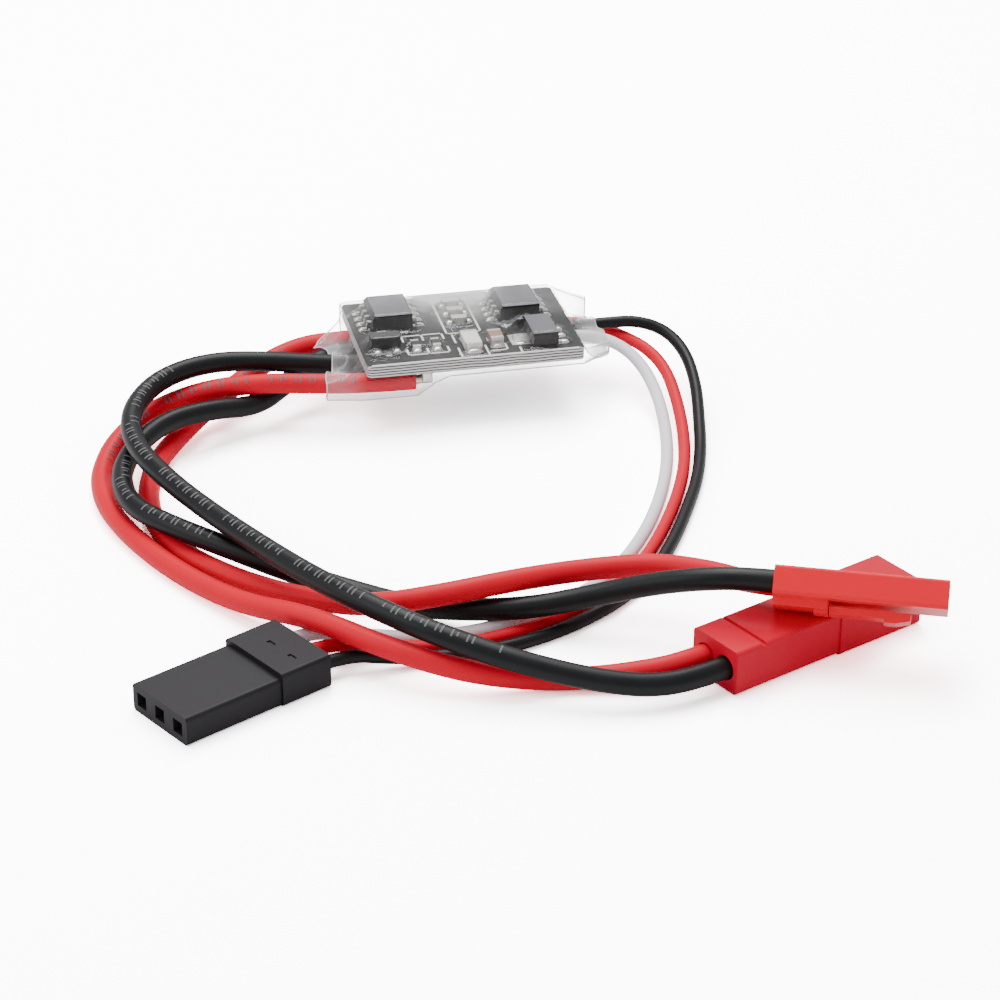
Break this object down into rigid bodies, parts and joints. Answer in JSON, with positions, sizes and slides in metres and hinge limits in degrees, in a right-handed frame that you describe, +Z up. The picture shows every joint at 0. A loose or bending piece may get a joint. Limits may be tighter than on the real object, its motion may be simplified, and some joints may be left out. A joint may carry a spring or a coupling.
{
  "type": "electronic speed controller",
  "caption": "Small two-way brushed motor speed controller: a bare circuit board in clear shrink film, with red and black power wires and a three-wire control lead.",
  "frame": {"origin": "centre of the flat underside of the clear film sleeve, where the mounting tape goes", "axes": "+X along the board towards the control lead, +Y across the board away from the plugs, +Z up out of the board's component side"},
  "size_m": [0.0687, 0.0715, 0.0093],
  "materials": {
    "board_resin": "dark solder mask over pale laminate",
    "tinned": "tinned copper",
    "chip_black": "moulded epoxy",
    "resistor_black": "ceramic with a dark glaze",
    "milky_ceramic": "pale ceramic",
    "brown_ceramic": "brown ceramic",
    "lamp_white": "milky lens",
    "clear_film": "clear shrink film",
    "silicone_red": "silicone insulation, satin",
    "silicone_black": "silicone insulation, satin",
    "control_white": "soft insulation, satin",
    "plug_red": "moulded nylon",
    "receptacle_red": "translucent moulded nylon",
    "plug_black": "moulded nylon",
    "gold": "gold-plated contact"
  },
  "bodies": {
    "controller": {"circuit_board": "board_resin", "board_pads": "tinned", "mosfet_left_body": "chip_black", "mosfet_left_leads": "tinned", "mosfet_right_body": "chip_black", "mosfet_right_leads": "tinned", "regulator_body": "chip_black", "regulator_tab": "tinned", "transistor_body": "chip_black", "transistor_leads": "tinned", "controller_body": "chip_black", "controller_leads": "tinned", "chip_resistors": "resistor_black", "chip_resistor_caps": "tinned", "chip_capacitors": "milky_ceramic", "chip_capacitor_caps": "tinned", "brown_capacitor": "brown_ceramic", "brown_capacitor_caps": "tinned", "status_lamp": "lamp_white", "status_lamp_caps": "tinned", "shrink_film": "clear_film", "battery_negative_wire": "silicone_black", "battery_positive_wire": "silicone_red", "motor_positive_wire": "silicone_red", "motor_negative_wire": "silicone_black", "control_ground_wire": "silicone_black", "control_supply_wire": "silicone_red", "control_signal_wire": "control_white", "power_wire_ends": "tinned", "power_solder_joints": "tinned", "control_wire_ends": "tinned", "control_solder_joints": "tinned", "battery_plug_housing": "plug_red", "battery_plug_pins": "gold", "receptacle_housing": "receptacle_red", "receptacle_contacts": "tinned", "control_plug_housing": "plug_black", "control_plug_contacts": "gold"},
    "latch_arm": {"receptacle_latch": "receptacle_red"}
  },
  "joints": [
    {"name": "latch_press", "type": "hinge", "parent": "controller", "child": "latch_arm", "pos_m": [0.01923, -0.05844, 0.00158], "axis": [0.3079, 0.7254, -0.6157], "range_deg": [-3, 0], "stiffness_Nm_per_rad": 0.02}
  ]
}
